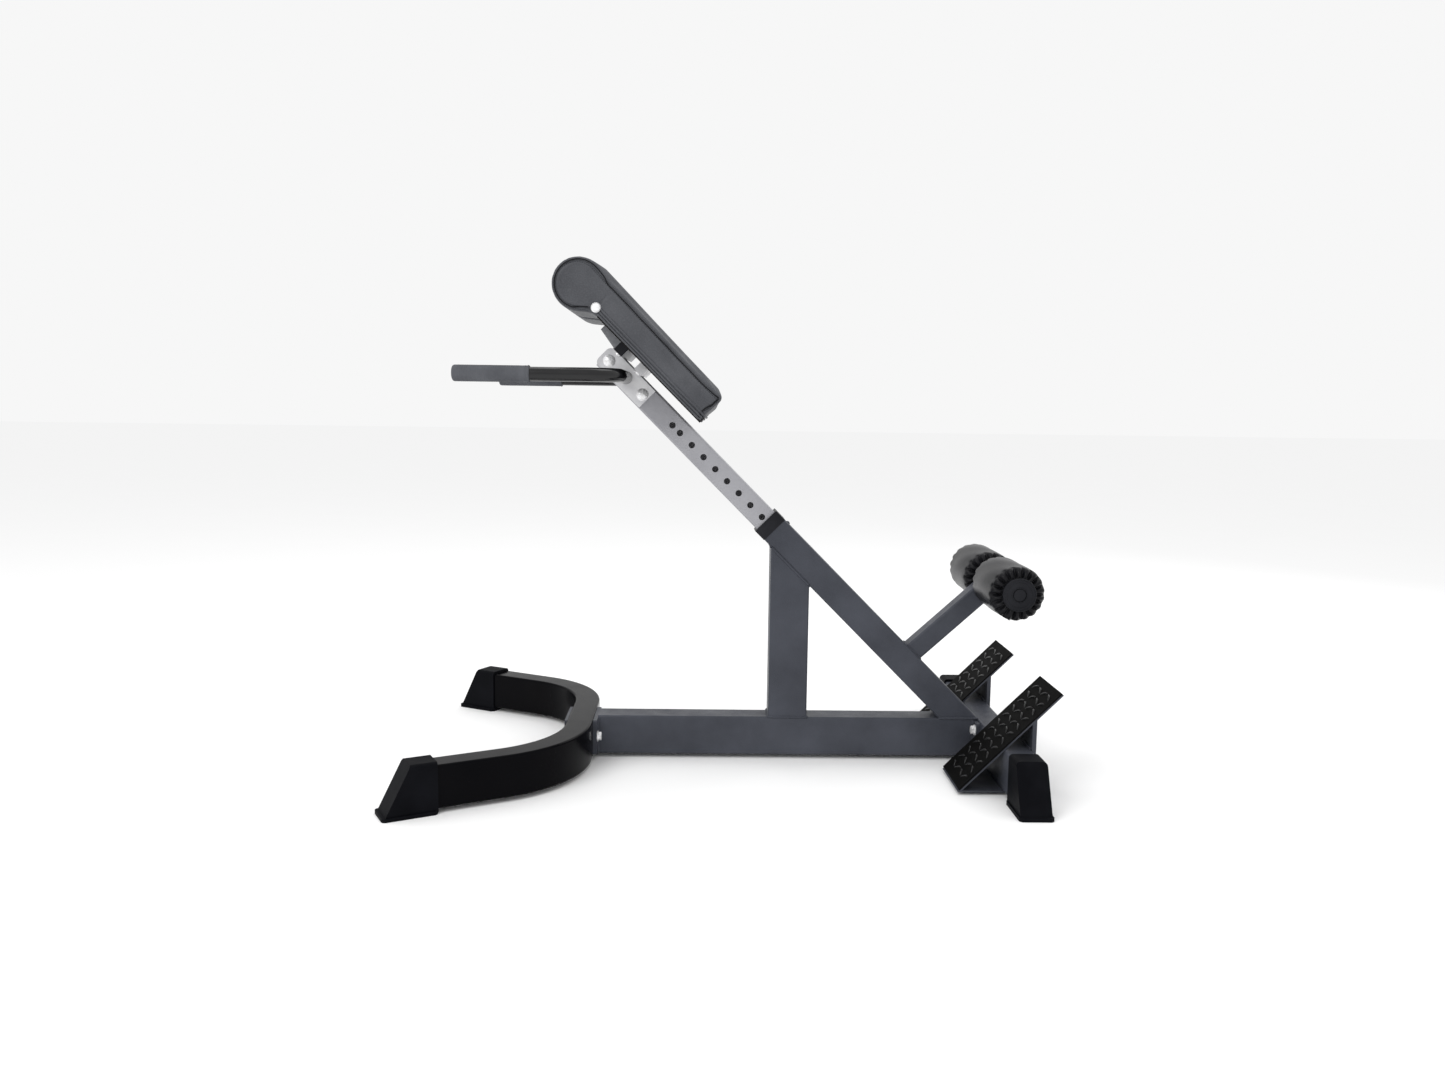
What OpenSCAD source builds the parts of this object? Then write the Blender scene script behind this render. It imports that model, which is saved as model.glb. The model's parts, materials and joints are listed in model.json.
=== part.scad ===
// Roman chair: a 45 degree back-extension bench with a telescoping seat post.
// X runs from the handle end (-X) to the foot end (+X), Y across, Z up.
// The origin is on the floor under the middle of the machine.

/* [Overall] */
// Length over the front foot caps and the foot plates
overall_l = 1262; // [1240:1:1290]
// Height of every floor tube above the floor
floor_gap = 9; // [8:1:12]

/* [Base] */
// Height of the floor tubes
base_h = 80; // [76:1:84]
// Width of the front and rear foot tubes
foot_tube_w = 52; // [50:1:54]
// Width of the beam and of the upright
beam_w = 60; // [56:1:62]
// Wall of all frame tubes
tube_wall = 2.5; // [2:0.5:3]
// Centre line of the front tube's middle stretch
front_x = -299; // [-310:1:-290]
// Half length of that middle stretch
front_straight = 89; // [80:1:100]
// Radius of the front tube's bends, at the centre line
front_bend_r = 224; // [210:1:240]
// Angle that each bend turns through
front_bend_a = 62; // [58:1:66]
// Centre line of the rear foot tube
rear_x = 549; // [548:1:552]
// Half length of the rear foot, over its caps
rear_half = 393; // [370:1:400]
// Centre line of the upright
upright_x = 127; // [120:1:135]
// Size of the upright along the beam
upright_w = 80; // [70:1:90]

/* [Foot caps] */
// Length of a cap along the floor
cap_l = 100; // [95:1:105]
// Length of a cap along its top
cap_top_l = 48; // [44:1:52]
// Width of a cap above its lip
cap_w = 58; // [57:0.5:60]
// Width of the lip round the sole
lip_w = 64; // [62:0.5:68]

/* [Seat post] */
// Size of the square sleeve
sleeve_w = 58; // [58:0.5:60]
// Top end of the sleeve, measured along the post from the floor
sleeve_top = 677; // [670:1:685]
// Size of the square inner tube
inner_w = 50; // [50:0.5:50]
// Length of the bush's collar above the sleeve
collar_l = 26; // [20:1:30]
// Spacing of the height holes
hole_pitch = 34; // [34:1:34]
// Number of height holes
hole_count = 12; // [8:1:12]
// Radius of a height hole
hole_r = 6.5; // [6:0.1:7]

/* [Head] */
// Lower bolt of the head plates, measured along the post
head_bolt_s = 1058.5; // [1055:0.5:1060]
// Spacing of the two head bolts
head_bolt_pitch = 94; // [90:1:98]
// Width of the head plates
head_w = 46; // [44:1:50]
// Thickness of the head plates
head_t = 4; // [3:0.5:5]

/* [Handlebar] */
// Radius of the handlebar's tube
bar_r = 13; // [12:0.5:14]
// Half distance between the two handles
bar_half = 245; // [230:1:260]
// Radius of the handlebar's bends
bar_bend_r = 55; // [45:1:65]
// Front end of the grips
grip_x = -509; // [-530:1:-490]
// Length of a grip
grip_l = 140; // [120:1:150]
// Outer radius of a grip
grip_r = 15; // [14.5:0.25:17]

/* [Hip pads] */
// Outer side of a pad, from the middle
pad_out = 194; // [180:1:200]
// Inner side of a pad, from the middle
pad_in = 16; // [14:1:22]
// Lower end of a pad, measured along the post
pad_s0 = 936; // [930:1:940]
// Centre of the roll at a pad's upper end, measured along the post
roll_s = 1279; // [1275:1:1285]
// Height of the roll's centre above the post's centre line
roll_off = 64; // [62:1:66]
// Radius of the roll
roll_r = 53; // [50:1:54]

/* [Ankle rollers] */
// Place of the roller axle along the post
roller_s = 281; // [278:1:286]
// Height of the roller axle above the post's centre line
roller_off = 253; // [240:1:260]
// Radius of a roller
roller_r = 53; // [45:1:55]
// Place of the roller post's foot along the sleeve
roller_foot_s = 291; // [286:1:296]
// Size of the square roller post
roller_post_w = 40; // [38:1:40]

/* [Foot plates] */
// Outer side of a foot plate, from the middle
plate_out = 250; // [240:1:260]
// Inner side of a foot plate, from the middle
plate_in = 106; // [100:1:115]
// Upper end of a foot plate, above the post's centre line
plate_top = 179.5; // [170:0.5:185]
// Place of the tread's surface along the post
tread_s = 102.5; // [100:0.5:105]

/* [Hidden] */
$fn = 48;

// Colours
charcoal = [0.16, 0.16, 0.17];
gloss_black = [0.05, 0.05, 0.05];
rubber_black = [0.11, 0.11, 0.11];
satin = [0.72, 0.72, 0.74];
bright = [0.85, 0.85, 0.86];
leather = [0.20, 0.20, 0.21];
wood = [0.55, 0.42, 0.28];

base_mid = floor_gap + base_h / 2;
base_top = floor_gap + base_h;
corner_r = 4;
bolt_r = 5;
hex_r = 9;
hex_h = 6.5;
washer_t = 2;

// Foot plates: steel sheet with a rubber mat on its upper face
mat_t = 3;
sheet_t = 3;
sheet_s = tread_s - mat_t;
sheet_back_s = sheet_s - sheet_t;

// The post's centre line leans 45 degrees and meets the floor at post_x.
lean = 45;
half_root = sin(45);
post_x = overall_l / 2 - (plate_top - sheet_back_s) * half_root;

// Base
flange_t = 8;
backing_t = 6;
flange_half = 56;
front_back_x = front_x + foot_tube_w / 2;
front_face_x = front_x - foot_tube_w / 2;
beam_x0 = front_back_x + flange_t;
rear_face_x = rear_x - foot_tube_w / 2;
beam_x1 = rear_face_x - flange_t;
rear_back_x = rear_x + foot_tube_w / 2;
front_bolt_y = 43;
rear_bolt_y = 44;
rear_bolt_dz = 20;
cap_pocket = 34;
cap_h = base_top + 6;
lip_r = 8;
lip_h = 7;
// The front caps reach the end of overall_l.
bend_end_x = front_x - front_bend_r + front_bend_r * cos(front_bend_a);
leg_l = lip_r + (bend_end_x + overall_l / 2 - lip_r - (lip_w / 2 - lip_r) * cos(front_bend_a))
    / sin(front_bend_a);

// Seat post
sleeve_half = sleeve_w / 2;
inner_half = inner_w / 2;
slide_gap = 0.2;
skirt_gap = 0.05;
skirt_l = 52;
pin_s = sleeve_top + collar_l - 57.4;
lowest_hole = pin_s - 2 * hole_pitch;
spare_hole = lowest_hole + (hole_count - 1) * hole_pitch + 21.5;
inner_s0 = lowest_hole - 32;
inner_s1 = 1165;
inner_wall = 2;
glide_l = 12;
plug_l = 22;
bush_screw_s = sleeve_top - 12;
screw_r = 2;

// Pull pin
pin_r = 5;
pin_gap = 0.08;
pin_clear = 0.3;
housing_r = 11;
housing_l = 31;
chamber_r = 8;
guide_l = 5;
end_wall = 4;
shoulder_r = 7.6;
shoulder_l = 3;
spring_wire_r = 0.8;
knob_r = 15;
knob_l = 27;

// Head and handlebar
head_bolt2_s = head_bolt_s + head_bolt_pitch;
bar_s = head_bolt_s + head_bolt_pitch / 2;
head_s0 = head_bolt_s - 13.5;
head_s1 = head_bolt2_s + 19;
head_corner_r = 12;
head_bolt_r = 6;
dome_r = 12.5;
dome_h = 7;
bar_x = post_x - bar_s * half_root;
bar_z = bar_s * half_root;
bar_wall = 2;
grip_cap = 4;

// Pads
bar_h = 20;
board_off = inner_half + bar_h;
board_t = 12;
board_s1 = 1212;
board_inset = 4;
skirt_off = board_off + 0.6;
bracket_s = [1152, 1205];
bracket_half = 58;
bracket_wall = 3;
crossbar_upper_s = [1132, 1152];
crossbar_upper_half = 150;
crossbar_lower_s = [1083, 1103];
crossbar_lower_half = 90;
pad_screw_r = 4;
pad_screw_head_r = 6.5;
pad_screw_head_h = 4;
side_bolt_s = 1225;
side_bolt_off = 56;
side_bolt_l = 40;

// Rollers
axle_r = 10;
core_r = 14;
roller_in = 24;
roller_out = 197;
roller_cap_r = 32;
roller_cap_t = 6;
recess_r = 13;
recess_t = 3;
axle_half = roller_out + roller_cap_t - recess_t + 0.4;
roller_tilt = atan((roller_foot_s - roller_s) / (roller_off - sleeve_half));
roller_post_l = (roller_off - sleeve_half) / cos(roller_tilt) + 20;

// Place along the post: local X stands square off the post, Z runs up along it.
module on_post() {
    translate([post_x, 0, 0]) rotate([0, -lean, 0]) children();
}

// A point at a height off the post and a place along it, as X and Z.
function post_point(off, s) = [post_x + (off - s) * half_root, (off + s) * half_root];

module on_side(side) {
    if (side < 0) children();
    else mirror([0, 1, 0]) children();
}

module round_rect(w, h, r) {
    square([w - 2 * r, h], center = true);
    square([w, h - 2 * r], center = true);
    for (sx = [-1, 1], sy = [-1, 1])
        translate([sx * (w / 2 - r), sy * (h / 2 - r)]) circle(r);
}

module tube_section(w, h, wall) {
    difference() {
        round_rect(w, h, corner_r);
        round_rect(w - 2 * wall, h - 2 * wall, corner_r - wall);
    }
}

// A solid or tube along +Y from y0 to y1; the drawing's X stays X.
module along_y(y0, y1) {
    translate([0, y0, 0]) rotate([-90, 0, 0]) linear_extrude(y1 - y0) children();
}

module along_x(x0, x1) {
    translate([x0, 0, 0]) rotate([90, 0, 90]) linear_extrude(x1 - x0) children();
}

module rod_y(r, y0, y1) {
    translate([0, y0, 0]) rotate([-90, 0, 0]) cylinder(r = r, h = y1 - y0);
}

module rod_x(r, x0, x1) {
    translate([x0, 0, 0]) rotate([0, 90, 0]) cylinder(r = r, h = x1 - x0);
}

// ---- Base ----

module front_leg_end() {
    translate([front_x - front_bend_r, front_straight, 0])
        rotate([0, 0, front_bend_a])
            translate([front_bend_r, 0, 0]) children();
}

// The outline of a rectangle whose corners are rounded in flats.
function soft_corners(w, h, r, flats) = [
    for (corner = [0 : 3]) for (i = [0 : flats])
        let (
            turn = 90 * corner,
            sx = (corner == 0 || corner == 3) ? 1 : -1,
            sy = corner < 2 ? 1 : -1,
            a = turn + 90 * i / flats
        )
        [sx * (w / 2 - r) + r * cos(a), sy * (h / 2 - r) + r * sin(a)]
];

// The bent tube's path, swept with one outline.
module front_path(outline, extra) {
    translate([front_x, 0, base_mid])
        along_y(-front_straight, front_straight) polygon(outline);
    for (side = [-1, 1]) on_side(side) mirror([0, 1, 0]) {
        translate([front_x - front_bend_r, front_straight, base_mid])
            rotate_extrude(angle = front_bend_a)
                translate([front_bend_r, 0]) polygon(outline);
        translate([0, 0, base_mid]) front_leg_end()
            along_y(0, leg_l - cap_l + cap_pocket + extra) polygon(outline);
    }
}

module front_bolt_places() {
    for (side = [-1, 1])
        translate([0, side * front_bolt_y, base_mid]) children();
}

module front_base_tube() {
    inside_w = foot_tube_w - 2 * tube_wall;
    inside_h = base_h - 2 * tube_wall;
    color(gloss_black) difference() {
        front_path(soft_corners(foot_tube_w, base_h, corner_r, 3), 0);
        front_path(soft_corners(inside_w, inside_h, corner_r - tube_wall, 1), 1);
        front_bolt_places() rod_x(bolt_r + 0.5, front_face_x - 1, front_back_x + 1);
    }
}

// A rubber foot: a cup over the tube's end, with a sloping face and a lip round its sole.
module foot_cap() {
    difference() {
        union() {
            intersection() {
                translate([-lip_w / 2, 0, 0]) rotate([90, 0, 90]) linear_extrude(lip_w)
                    polygon([[0, 0], [cap_l - 3, 0], [cap_top_l, cap_h], [0, cap_h]]);
                along_y(0, cap_l)
                    translate([0, -cap_h / 2]) round_rect(cap_w, cap_h, lip_r);
            }
            linear_extrude(lip_h) translate([0, cap_l / 2]) round_rect(lip_w, cap_l, lip_r);
        }
        translate([0, 0, base_mid])
            along_y(-1, cap_pocket) round_rect(foot_tube_w, base_h, corner_r);
    }
}

module front_cap(side) {
    color(rubber_black) on_side(-side) front_leg_end()
        translate([0, leg_l - cap_l, 0]) foot_cap();
}

module front_cap_left() { front_cap(-1); }

module front_cap_right() { front_cap(1); }

module rear_cap(side) {
    color(rubber_black) on_side(-side) translate([rear_x, rear_half - cap_l, 0]) foot_cap();
}

module rear_cap_left() { rear_cap(-1); }

module rear_cap_right() { rear_cap(1); }

module flange_plate(x0, x1) {
    translate([0, 0, base_mid]) along_x(x0, x1)
        round_rect(2 * flange_half, base_h - 8, corner_r);
}

module front_flange_plate() {
    color(charcoal) difference() {
        flange_plate(front_back_x, front_back_x + flange_t);
        front_bolt_places() rod_x(bolt_r + 0.5, front_back_x - 1, front_back_x + flange_t + 1);
    }
}

module front_backing_plate() {
    color(charcoal) difference() {
        flange_plate(front_face_x - backing_t, front_face_x);
        front_bolt_places() rod_x(bolt_r + 0.5, front_face_x - backing_t - 1, front_face_x + 1);
    }
}

// A hexagon bolt along X whose head stands on the +X side of x1.
module hex_bolt(x0, x1) {
    rod_x(bolt_r, x0, x1 + 0.1);
    rod_x(hex_r + 2, x1, x1 + washer_t);
    translate([x1 + washer_t, 0, 0]) rotate([0, 90, 0]) cylinder(r = hex_r, h = hex_h, $fn = 6);
}

nut_x = front_face_x - backing_t;

module front_bolts() {
    color(bright) front_bolt_places()
        hex_bolt(nut_x - washer_t - hex_h - 3, front_back_x + flange_t);
}

module front_nuts() {
    color(bright) front_bolt_places() difference() {
        union() {
            rod_x(hex_r + 2, nut_x - washer_t, nut_x);
            translate([nut_x - washer_t - hex_h, 0, 0])
                rotate([0, 90, 0]) cylinder(r = hex_r, h = hex_h, $fn = 6);
        }
        rod_x(bolt_r + 0.02, nut_x - washer_t - hex_h - 1, nut_x + 1);
    }
}

module base_beam() {
    color(charcoal) translate([0, 0, base_mid])
        along_x(beam_x0, beam_x1) tube_section(beam_w, base_h, tube_wall);
}

module rear_bolt_places() {
    for (side = [-1, 1], up = [-1, 1])
        translate([0, side * rear_bolt_y, base_mid + up * rear_bolt_dz]) children();
}

module rear_flange_plate() {
    color(charcoal) difference() {
        flange_plate(beam_x1, rear_face_x);
        rear_bolt_places() rod_x(bolt_r + 0.5, beam_x1 - 1, rear_face_x + 1);
    }
}

// These bolts screw into the rear foot tube's front wall.
module rear_bolts() {
    color(bright) rear_bolt_places()
        mirror([1, 0, 0]) hex_bolt(-(rear_face_x + 12), -beam_x1);
}

module rear_foot_tube() {
    tube_half = rear_half - cap_l + cap_pocket;
    color(charcoal) difference() {
        translate([rear_x, 0, base_mid])
            along_y(-tube_half, tube_half) tube_section(foot_tube_w, base_h, tube_wall);
        rear_bolt_places() rod_x(bolt_r + 0.02, rear_face_x - 1, rear_face_x + tube_wall + 1);
    }
}

module upright() {
    color(charcoal) difference() {
        translate([upright_x, 0, base_top])
            linear_extrude(sleeve_top) tube_section(upright_w, beam_w, tube_wall);
        on_post() translate([-sleeve_half, -beam_w, 0]) cube([600, 2 * beam_w, 1500]);
    }
}

// ---- Seat post ----

module sleeve() {
    color(charcoal) difference() {
        on_post() linear_extrude(sleeve_top) tube_section(sleeve_w, sleeve_w, tube_wall);
        translate([post_x - 400, -sleeve_w, -400]) cube([800, 2 * sleeve_w, 400 + base_top]);
        on_post() translate([0, 0, pin_s]) rod_y(pin_r + 0.3, 0, sleeve_w);
        on_post() translate([0, 0, bush_screw_s]) rod_x(screw_r + 0.1, inner_half, sleeve_w);
    }
}

module sleeve_bush() {
    hole_w = inner_w + 2 * slide_gap;
    skirt_w = sleeve_w - 2 * tube_wall - 2 * skirt_gap;
    color(rubber_black) on_post() difference() {
        union() {
            translate([0, 0, sleeve_top])
                linear_extrude(collar_l) round_rect(sleeve_w + 2, sleeve_w + 2, corner_r + 1);
            translate([0, 0, sleeve_top - skirt_l])
                linear_extrude(skirt_l + 1) round_rect(skirt_w, skirt_w, corner_r - tube_wall);
        }
        translate([0, 0, sleeve_top - skirt_l - 1])
            linear_extrude(skirt_l + collar_l + 2) round_rect(hole_w, hole_w, corner_r);
        translate([0, 0, pin_s]) rod_y(pin_r + 0.3, 0, sleeve_w);
        translate([0, 0, bush_screw_s]) rod_x(screw_r + 0.05, 0, sleeve_w);
    }
}

// A low domed head on the +X side of x1, drawn as a slice of a ball.
module dome(r, h) {
    ball_r = (r * r + h * h) / (2 * h);
    rotate([0, 90, 0]) intersection() {
        translate([0, 0, h - ball_r]) sphere(ball_r);
        cylinder(r = r, h = h);
    }
}

module bush_screw() {
    color(charcoal) on_post() translate([0, 0, bush_screw_s]) {
        rod_x(screw_r, inner_half + 0.6, sleeve_half + 0.5);
        translate([sleeve_half, 0, 0]) dome(5, 3.5);
    }
}

// The pull pin stands on the right-hand side of the sleeve.
module at_pin() {
    on_post() translate([0, 0, pin_s]) children();
}

chamber_y = sleeve_half + guide_l;
housing_end = sleeve_half + housing_l;
pin_tip = inner_half + pin_clear;
spring_y0 = chamber_y + 0.3 + shoulder_l;
spring_l = housing_end - end_wall - spring_y0;

module pin_housing() {
    color(charcoal) at_pin() difference() {
        rod_y(housing_r, sleeve_half, housing_end);
        rod_y(pin_r + pin_gap, sleeve_half - 1, housing_end + 1);
        rod_y(chamber_r, chamber_y, housing_end - end_wall);
    }
}

module pull_pin() {
    color(bright) at_pin() {
        rod_y(pin_r, pin_tip, housing_end + knob_l - 8);
        rod_y(shoulder_r, chamber_y + 0.3, spring_y0);
    }
}

module pin_spring() {
    turns = 5;
    mid_r = pin_r + 0.3 + spring_wire_r;
    color(satin) at_pin() translate([0, spring_y0, 0]) rotate([-90, 0, 0])
        linear_extrude(spring_l, twist = 360 * turns, slices = 24 * turns)
            translate([mid_r, 0]) circle(spring_wire_r, $fn = 10);
}

// A round knob with a waist, turned about the pin.
module pin_knob() {
    color(rubber_black) at_pin() translate([0, housing_end + 1, 0]) rotate([-90, 0, 0])
        difference() {
            union() {
                cylinder(r = 9, h = knob_l - knob_r);
                translate([0, 0, knob_l - knob_r]) intersection() {
                    sphere(knob_r);
                    translate([0, 0, -knob_r / 2]) cylinder(r = knob_r, h = 1.5 * knob_r);
                }
            }
            translate([0, 0, -1]) cylinder(r = pin_r, h = knob_l - 8);
        }
}

// A hole through both side walls of the inner tube.
module cross_hole(s, r) {
    translate([0, 0, s]) rod_y(r, -inner_w, inner_w);
}

// A height hole goes through the left wall and is a blind seat for the pin in the right wall.
module height_hole(s) {
    seat_depth = 1.5;
    translate([0, 0, s]) {
        rod_y(hole_r, -inner_w, 0);
        rod_y(hole_r, inner_half - seat_depth, inner_w);
    }
}

module top_screw_holes(r) {
    for (s = [1143, 1092], side = [-1, 1])
        translate([0, 0, s]) translate([0, side * 12, 0]) rod_x(r, 0, inner_w);
}

module inner_tube() {
    color(satin) on_post() difference() {
        translate([0, 0, inner_s0])
            linear_extrude(inner_s1 - inner_s0) tube_section(inner_w, inner_w, inner_wall);
        for (i = [0 : hole_count - 1]) height_hole(lowest_hole + i * hole_pitch);
        height_hole(spare_hole);
        cross_hole(head_bolt_s, head_bolt_r + 0.2);
        cross_hole(head_bolt2_s, head_bolt_r + 0.2);
        cross_hole(bar_s, bar_r + 0.05);
    }
}

module tube_glide() {
    glide_w = sleeve_w - 2 * tube_wall - 2 * slide_gap;
    plug_w = inner_w - 2 * inner_wall - 0.2;
    color(rubber_black) on_post() {
        translate([0, 0, inner_s0 - glide_l])
            linear_extrude(glide_l) round_rect(glide_w, glide_w, 2);
        translate([0, 0, inner_s0 - 1])
            linear_extrude(plug_l + 1) round_rect(plug_w, plug_w, 2);
    }
}

// ---- Head ----

module head_outline() {
    half = head_w / 2;
    translate([-half, head_s0]) square([head_w, head_s1 - head_s0 - head_corner_r]);
    translate([-half + head_corner_r, head_s0])
        square([head_w - 2 * head_corner_r, head_s1 - head_s0]);
    for (sx = [-1, 1])
        translate([sx * (half - head_corner_r), head_s1 - head_corner_r]) circle(head_corner_r);
}

module head_plate(side) {
    color(satin) on_post() on_side(side) difference() {
        translate([0, -inner_half, 0]) rotate([90, 0, 0]) linear_extrude(head_t) head_outline();
        for (s = [head_bolt_s, head_bolt2_s])
            translate([0, 0, s]) rod_y(head_bolt_r + 0.2, -inner_w, 0);
        translate([0, 0, bar_s]) rod_y(bar_r + 0.05, -inner_w, 0);
    }
}

module head_plate_left() { head_plate(-1); }

module head_plate_right() { head_plate(1); }

module head_bolt_places() {
    on_post() for (s = [head_bolt_s, head_bolt2_s]) translate([0, 0, s]) children();
}

head_face = inner_half + head_t;

module head_bolts() {
    color(bright) head_bolt_places() {
        rod_y(head_bolt_r, -head_face - 1, head_face + dome_h - 3);
        translate([0, -head_face, 0]) rotate([0, 0, -90]) dome(dome_r, dome_h);
    }
}

module head_nuts() {
    color(bright) head_bolt_places() difference() {
        translate([0, head_face, 0]) rotate([0, 0, 90]) dome(dome_r, dome_h);
        rod_y(head_bolt_r + 0.02, 0, head_face + dome_h - 3);
    }
}

// ---- Handlebar ----

module ring_section(r, wall) {
    difference() {
        circle(r);
        circle(r - wall);
    }
}

module half_handlebar() {
    translate([bar_x - bar_bend_r, bar_half - bar_bend_r, bar_z])
        rotate_extrude(angle = 90) translate([bar_bend_r, 0]) ring_section(bar_r, bar_wall);
    translate([0, bar_half, bar_z])
        along_x(grip_x + grip_cap, bar_x - bar_bend_r) ring_section(bar_r, bar_wall);
}

module handlebar() {
    straight = bar_half - bar_bend_r;
    color(gloss_black) {
        translate([bar_x, 0, bar_z]) along_y(-straight, straight) ring_section(bar_r, bar_wall);
        half_handlebar();
        mirror([0, 1, 0]) half_handlebar();
    }
}

module grip(side) {
    edge_r = 5;
    color(rubber_black) translate([grip_x, side * bar_half, bar_z]) rotate([0, 90, 0])
        difference() {
            rotate_extrude() {
                translate([0, edge_r]) square([grip_r, grip_l - edge_r]);
                square([grip_r - edge_r, edge_r + 1]);
                translate([grip_r - edge_r, edge_r]) intersection() {
                    circle(edge_r);
                    translate([0, -edge_r]) square([edge_r, edge_r]);
                }
            }
            translate([0, 0, grip_cap]) cylinder(r = bar_r, h = grip_l);
        }
}

module grip_left() { grip(-1); }

module grip_right() { grip(1); }

// ---- Hip pads ----

// Screws rise into the boards. A place is [along the post, across it, underside of its part].
bracket_floor = board_off - bracket_wall;
pad_screws_at = [[1180, 40, bracket_floor], [1142, 115, inner_half], [1093, 68, inner_half]];

// Each child stands on the underside that its screw's head bears on.
module pad_screw_places(s_y_under) {
    on_post() for (side = [-1, 1])
        translate([s_y_under[2], side * s_y_under[1], s_y_under[0]]) children();
}

module pad_screw_holes() {
    for (place = pad_screws_at)
        pad_screw_places(place) rod_x(pad_screw_r, -1, board_off + board_t - 3 - place[2]);
}

// A folded bracket: a web under the boards, two tapered sides and one end wall.
module pad_bracket() {
    s0 = bracket_s[0];
    s1 = bracket_s[1];
    inside = bracket_half - bracket_wall;
    color(satin) difference() {
        on_post() difference() {
            translate([0, bracket_half, 0]) rotate([90, 0, 0]) linear_extrude(2 * bracket_half)
                polygon([[inner_half, s0], [board_off, s0], [board_off, s1],
                         [inner_half + 7, s1], [inner_half, s0 + 12]]);
            translate([0, -inside, s0 + bracket_wall])
                cube([bracket_floor, 2 * inside, s1 - s0]);
        }
        pad_screw_holes();
    }
}

// A bar between the post and the boards, with its middle at half its height.
module at_crossbar(s_range) {
    on_post() translate([inner_half + bar_h / 2, 0, (s_range[0] + s_range[1]) / 2]) children();
}

module pad_crossbar_upper() {
    color(charcoal) difference() {
        at_crossbar(crossbar_upper_s)
            along_y(-crossbar_upper_half, crossbar_upper_half) difference() {
                round_rect(bar_h, bar_h, 2);
                round_rect(bar_h - 4, bar_h - 4, 1);
            }
        pad_screw_holes();
    }
}

module pad_crossbar_lower() {
    color(bright) difference() {
        at_crossbar(crossbar_lower_s)
            along_y(-crossbar_lower_half, crossbar_lower_half) round_rect(bar_h, bar_h, 2);
        pad_screw_holes();
    }
}

module crossbar_plugs() {
    plug_depth = 10;
    lid = 2;
    plug_w = bar_h - 4.2;
    end = crossbar_upper_half;
    color(rubber_black) for (side = [-1, 1]) on_side(side) at_crossbar(crossbar_upper_s) {
        along_y(-end - lid, -end) round_rect(bar_h, bar_h, 2);
        along_y(-end - 1, -end + plug_depth) round_rect(plug_w, plug_w, 1);
    }
}

module pad_board(side) {
    color(wood) difference() {
        on_side(side) on_post()
            translate([board_off, -pad_out + board_inset, pad_s0 + board_inset])
                cube([board_t, pad_out - pad_in - 2 * board_inset, board_s1 - pad_s0 - board_inset]);
        pad_screw_holes();
    }
}

module pad_board_left() { pad_board(-1); }

module pad_board_right() { pad_board(1); }

// The padded block, its roll and its rounded lower edge.
module pad_body() {
    edge_r = 10;
    low_top = roll_off + roll_r - 4.5;
    width = pad_out - pad_in;
    translate([0, -pad_in, 0]) rotate([90, 0, 0]) linear_extrude(width) polygon([
        [skirt_off, pad_s0],
        [skirt_off, board_s1 + 1],
        [skirt_off - 6, board_s1 + 12],
        [roll_off - roll_r * sin(43), roll_s - roll_r * cos(43)],
        [roll_off, roll_s],
        [roll_off + roll_r, roll_s],
        [low_top, pad_s0 + edge_r],
        [low_top - edge_r, pad_s0]
    ]);
    translate([roll_off, 0, roll_s]) rod_y(roll_r, -pad_out, -pad_in, $fn = 96);
    translate([low_top - edge_r, 0, pad_s0 + edge_r]) rod_y(edge_r, -pad_out, -pad_in);
}

module pad_cushion(side) {
    width = pad_out - pad_in;
    color(leather) on_side(side) on_post() difference() {
        pad_body();
        translate([0, -pad_out + board_inset, pad_s0 + board_inset])
            cube([board_off + board_t, width - 2 * board_inset, board_s1 - pad_s0 - board_inset]);
        translate([side_bolt_off, 0, side_bolt_s])
            rod_y(bolt_r + 0.05, -pad_out - 1, -pad_out + side_bolt_l);
    }
}

module pad_cushion_left() { pad_cushion(-1); }

module pad_cushion_right() { pad_cushion(1); }

module pad_screws() {
    color(bright) for (place = pad_screws_at) pad_screw_places(place) {
        rod_x(pad_screw_r - 0.1, -1, board_off + board_t - 4 - place[2]);
        rod_x(pad_screw_head_r, -pad_screw_head_h, 0);
    }
}

module pad_side_bolts() {
    color(bright) for (side = [-1, 1]) on_side(side)
        on_post() translate([side_bolt_off, 0, side_bolt_s]) {
            rod_y(bolt_r, -pad_out - 1, -pad_out + side_bolt_l - 1);
            translate([0, -pad_out, 0]) rotate([0, 0, -90]) dome(9.5, 6);
        }
}

// ---- Ankle rollers ----

module at_axle() {
    on_post() translate([roller_off, 0, roller_s]) children();
}

// The roller post's own place: Z runs up it from its foot on the sleeve.
module on_roller_post() {
    on_post() translate([sleeve_half, 0, roller_foot_s])
        rotate([0, 90 + roller_tilt, 0]) children();
}

module roller_post() {
    color(charcoal) difference() {
        on_roller_post() translate([0, 0, -6])
            linear_extrude(roller_post_l + 6) tube_section(roller_post_w, roller_post_w, tube_wall);
        on_post() translate([0, -roller_post_w, 0]) cube([sleeve_half, 2 * roller_post_w, 600]);
        at_axle() rod_y(axle_r + 0.05, -roller_post_w, roller_post_w);
    }
}

module post_end_plug() {
    plug_w = roller_post_w - 2 * tube_wall - 0.2;
    color(rubber_black) on_roller_post() translate([0, 0, roller_post_l]) {
        linear_extrude(3) round_rect(roller_post_w, roller_post_w, corner_r);
        translate([0, 0, -8]) linear_extrude(9) round_rect(plug_w, plug_w, 1);
    }
}

module roller_axle() {
    color(satin) at_axle() difference() {
        rod_y(axle_r, -axle_half, axle_half);
        for (side = [-1, 1]) on_side(side) rod_y(4.05, -axle_half - 1, -axle_half + 20);
    }
}

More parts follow.
